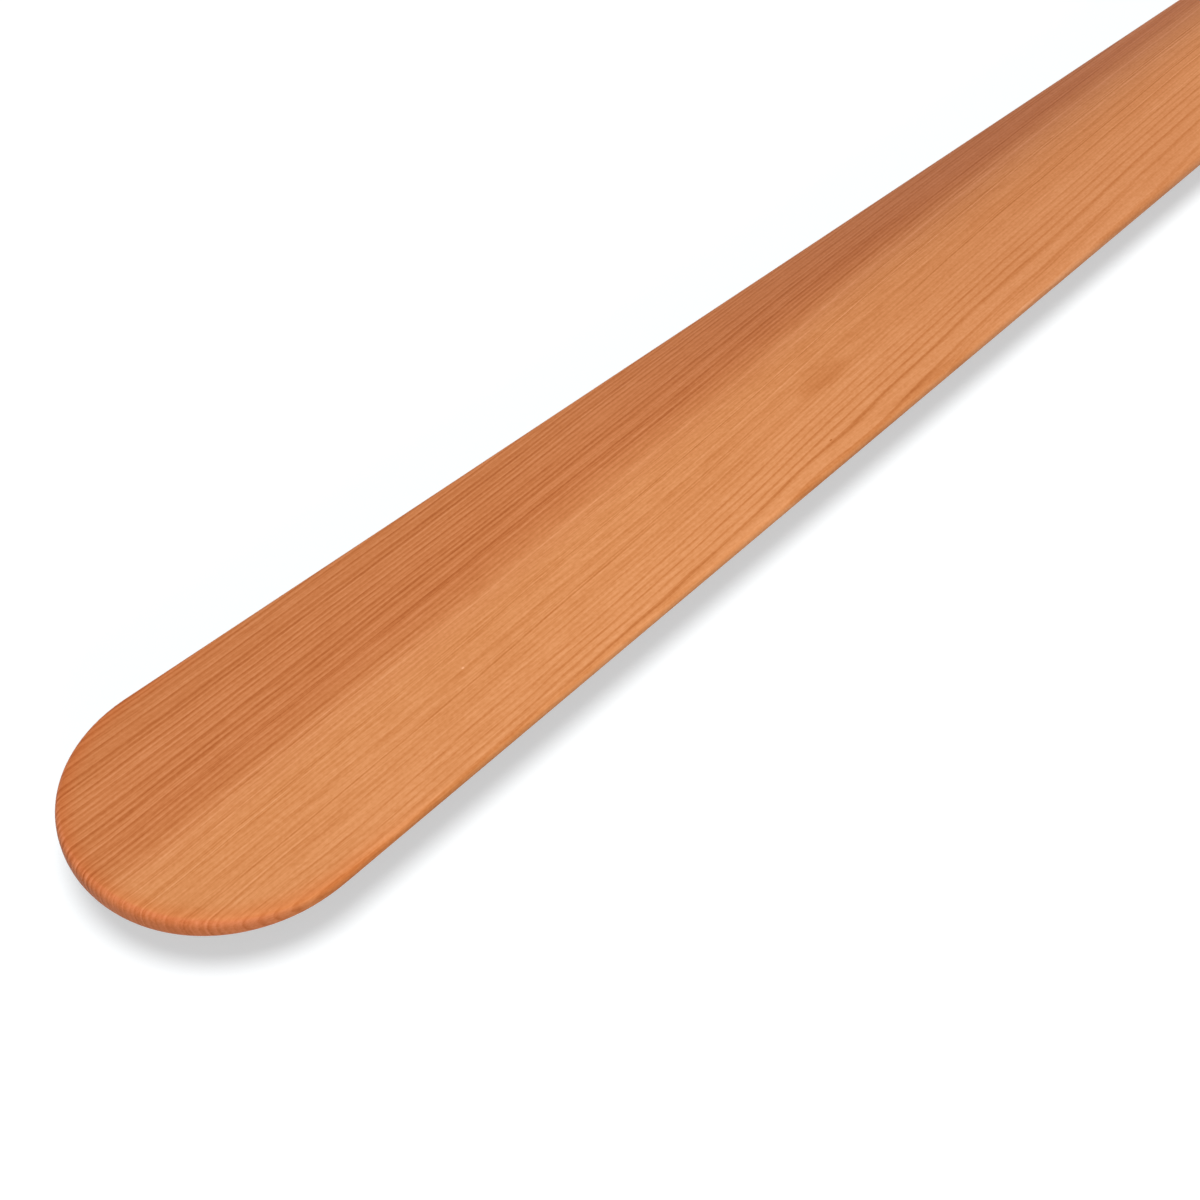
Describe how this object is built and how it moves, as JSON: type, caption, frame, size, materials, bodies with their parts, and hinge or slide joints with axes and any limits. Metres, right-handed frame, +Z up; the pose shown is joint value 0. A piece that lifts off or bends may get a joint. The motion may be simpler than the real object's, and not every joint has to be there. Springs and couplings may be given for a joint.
{
  "type": "greenland paddle",
  "caption": "Take-apart greenland paddle: two slim cedar blades on an oval loom, joined by a carbon sleeve and spigot with a snap button.",
  "frame": {"origin": "under the middle of the paddle's length, on the surface that it lies on", "axes": "+X along the paddle from the left half to the right half, +Y across the blades, +Z up out of the blades' faces"},
  "size_m": [2.18, 0.088, 0.032],
  "materials": {
    "cedar": "oiled red cedar, straight grain, satin",
    "carbon": "woven carbon fibre tube, clear gloss resin",
    "spring_steel": "bright stainless spring strip",
    "foam": "closed-cell foam, matt"
  },
  "bodies": {
    "left": {"left_half": "cedar", "ferrule_sleeve": "carbon"},
    "right": {"right_half": "cedar", "ferrule_spigot": "carbon", "spigot_collar": "carbon", "spigot_plug": "foam"},
    "button": {"snap_button": "spring_steel"}
  },
  "joints": [
    {"name": "pull_apart", "type": "slide", "parent": "left", "child": "right", "axis": [1, 0, 0], "range_m": [0, 0.16], "deforming": ["snap_button"]},
    {"name": "button_press", "type": "slide", "parent": "right", "child": "button", "axis": [0, 1, 0], "range_m": [0, 0.0034], "stiffness_N_per_m": 2500, "deforming": ["snap_button"]}
  ]
}
